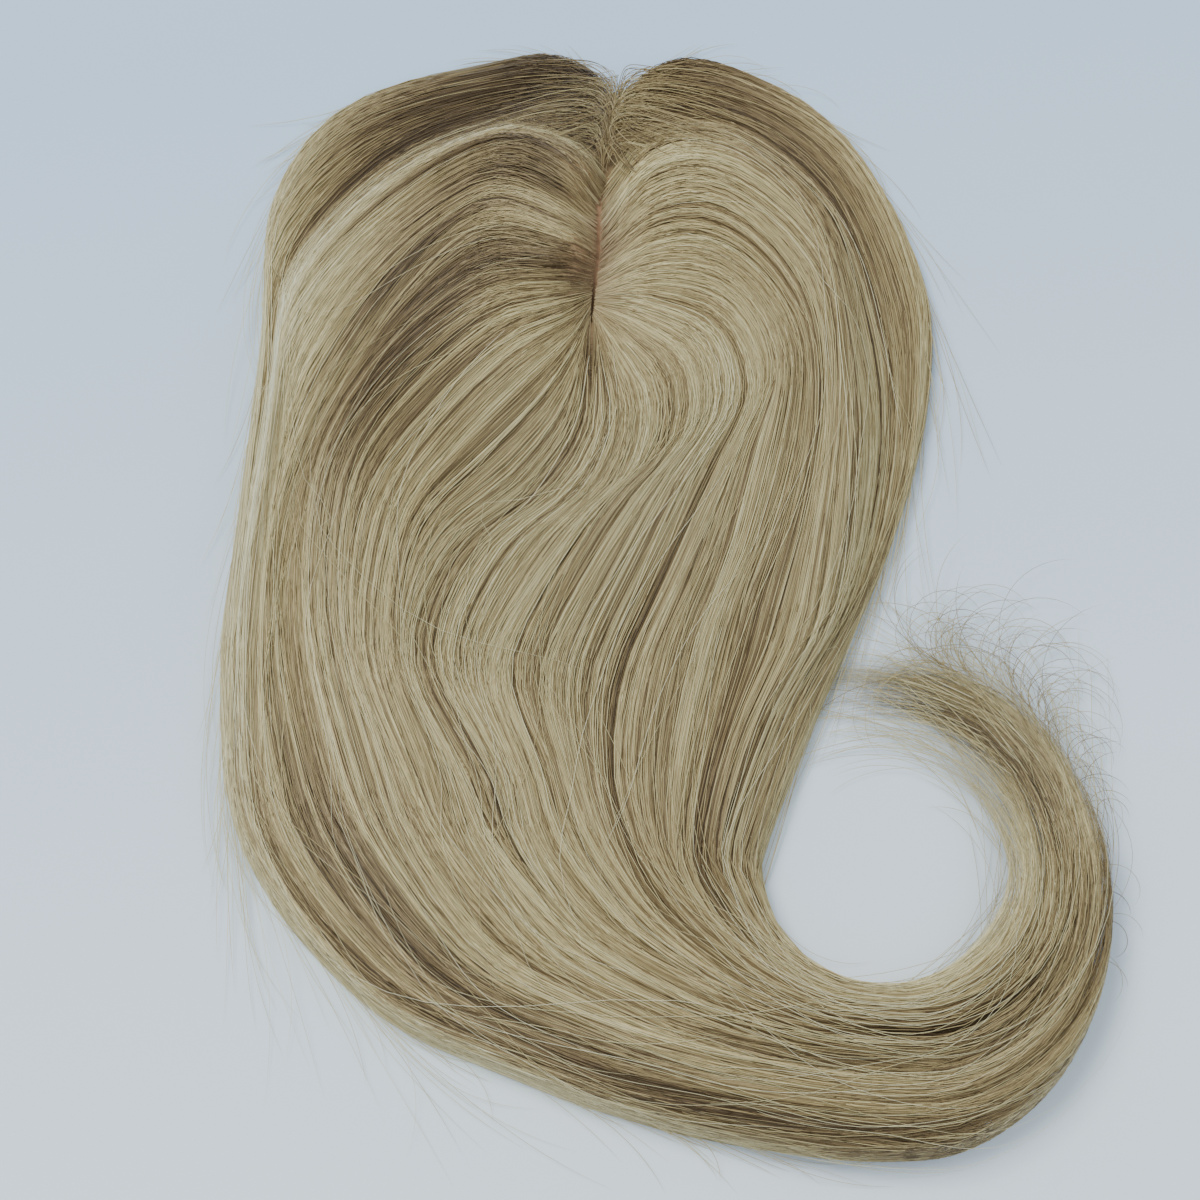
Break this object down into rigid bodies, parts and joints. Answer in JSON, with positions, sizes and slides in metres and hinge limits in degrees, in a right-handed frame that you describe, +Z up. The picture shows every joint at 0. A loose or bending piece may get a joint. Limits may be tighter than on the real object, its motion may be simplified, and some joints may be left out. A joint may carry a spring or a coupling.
{
  "type": "toupee hairpiece",
  "caption": "Long ash-blonde hair topper on a domed clip-in cap, parted in the middle, waved, its tail curled into a loop.",
  "frame": {"origin": "on the table, under the middle of the whole hairpiece", "axes": "+Y towards the front of the cap, along the hairpiece; +X towards the side that the tail curls to; +Z up"},
  "size_m": [0.2136, 0.297, 0.0364],
  "materials": {
    "hair": "fine ash-blonde hair with a soft sheen along the strands",
    "lace_cap": "matte silk and lace the colour of a scalp",
    "clip_steel": "satin dark brown lacquer"
  },
  "bodies": {
    "root": {"base_cap": "lace_cap", "clip_front": "clip_steel", "clip_left": "clip_steel", "clip_right": "clip_steel", "clip_back": "clip_steel", "lock_front_left": "hair", "lock_temple_left": "hair", "lock_side_left": "hair", "lock_back_left": "hair", "lock_crown": "hair", "lock_back_right": "hair", "lock_side_right": "hair", "lock_temple_right": "hair", "lock_front_right": "hair"}
  },
  "joints": []
}
